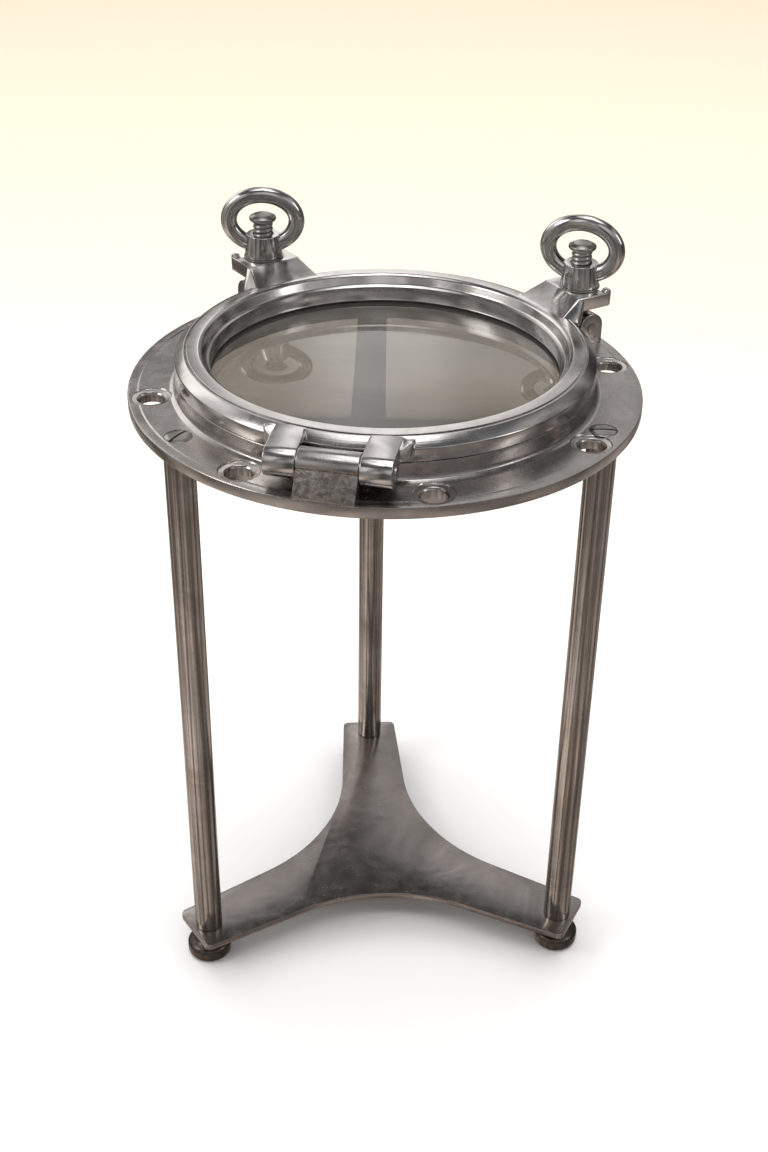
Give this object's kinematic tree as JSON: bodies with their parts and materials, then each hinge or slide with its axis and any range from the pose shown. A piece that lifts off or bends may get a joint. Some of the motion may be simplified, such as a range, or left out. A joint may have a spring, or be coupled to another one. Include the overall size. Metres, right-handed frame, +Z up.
{
  "type": "opening porthole table",
  "caption": "Opening porthole with a hinged glazed sash and swing-bolt ring nuts, mounted flat as the top of a side table on round bar legs with a flat base plate.",
  "frame": {"origin": "floor level, below the centre of the porthole flange", "axes": "+Z up; the sash hinge is at the front, towards -Y; the two dogs are at the back"},
  "size_m": [0.432, 0.432, 0.6703],
  "materials": {
    "polished_cast_alloy": "hand-polished cast aluminium with fine pitting",
    "polished_bar": "drawn bar, polished, slightly tarnished",
    "bright_alloy": "turned and polished",
    "worn_alloy_plate": "brushed and worn plate",
    "dull_steel": "dull machined steel",
    "dark_bronze": "dark patinated bronze",
    "black_rubber": "matte",
    "smoked_glass": "clear glass with a smoky tint"
  },
  "bodies": {
    "stand": {"porthole_frame": "polished_cast_alloy", "frame_seal": "black_rubber", "hinge_pin": "dull_steel", "left_pivot_pin": "dull_steel", "right_pivot_pin": "dull_steel", "base_plate": "worn_alloy_plate", "leg_back": "polished_bar", "leg_screw_back": "dull_steel", "foot_back": "dark_bronze", "foot_pad_back": "black_rubber", "foot_bolt_back": "dull_steel", "leg_left": "polished_bar", "leg_screw_left": "dull_steel", "foot_left": "dark_bronze", "foot_pad_left": "black_rubber", "foot_bolt_left": "dull_steel", "leg_right": "polished_bar", "leg_screw_right": "dull_steel", "foot_right": "dark_bronze", "foot_pad_right": "black_rubber", "foot_bolt_right": "dull_steel"},
    "sash": {"sash_ring": "polished_cast_alloy", "glass_pane": "smoked_glass", "glass_gasket_top": "black_rubber", "glass_gasket_bottom": "black_rubber", "glass_retaining_ring": "bright_alloy"},
    "left_dog": {"left_swing_bolt": "dull_steel", "left_stop_cap": "dull_steel"},
    "left_washer": {"left_thrust_washer": "dull_steel"},
    "left_nut": {"left_ring_nut": "bright_alloy"},
    "right_dog": {"right_swing_bolt": "dull_steel", "right_stop_cap": "dull_steel"},
    "right_washer": {"right_thrust_washer": "dull_steel"},
    "right_nut": {"right_ring_nut": "bright_alloy"}
  },
  "joints": [
    {"name": "sash_hinge", "type": "hinge", "parent": "stand", "child": "sash", "pos_m": [-0.03992, -0.1878, 0.579], "axis": [0.9781, -0.2079, 0], "range_deg": [0, 110]},
    {"name": "left_dog_swing", "type": "hinge", "parent": "stand", "child": "left_dog", "pos_m": [-0.11328, 0.16482, 0.5735], "axis": [-0.8241, -0.5664, 0], "range_deg": [0, 100]},
    {"name": "left_nut_travel", "type": "slide", "parent": "left_dog", "child": "left_washer", "axis": [0, 0, 1], "range_m": [0, 0.01151]},
    {"name": "left_nut_turn", "type": "hinge", "parent": "left_washer", "child": "left_nut", "pos_m": [-0.11328, 0.16482, 0.6173], "axis": [0, 0, 1], "range_deg": [0, 1035]},
    {"name": "right_dog_swing", "type": "hinge", "parent": "stand", "child": "right_dog", "pos_m": [0.17053, 0.1045, 0.5735], "axis": [-0.5225, 0.8526, 0], "range_deg": [0, 100]},
    {"name": "right_nut_travel", "type": "slide", "parent": "right_dog", "child": "right_washer", "axis": [0, 0, 1], "range_m": [0, 0.01151]},
    {"name": "right_nut_turn", "type": "hinge", "parent": "right_washer", "child": "right_nut", "pos_m": [0.17053, 0.1045, 0.6173], "axis": [0, 0, 1], "range_deg": [0, 1035]}
  ],
  "couplings": [
    {"joint": "left_nut_travel", "follows": "left_nut_turn", "m_per_rad": 0.00063662},
    {"joint": "right_nut_travel", "follows": "right_nut_turn", "m_per_rad": 0.00063662}
  ]
}
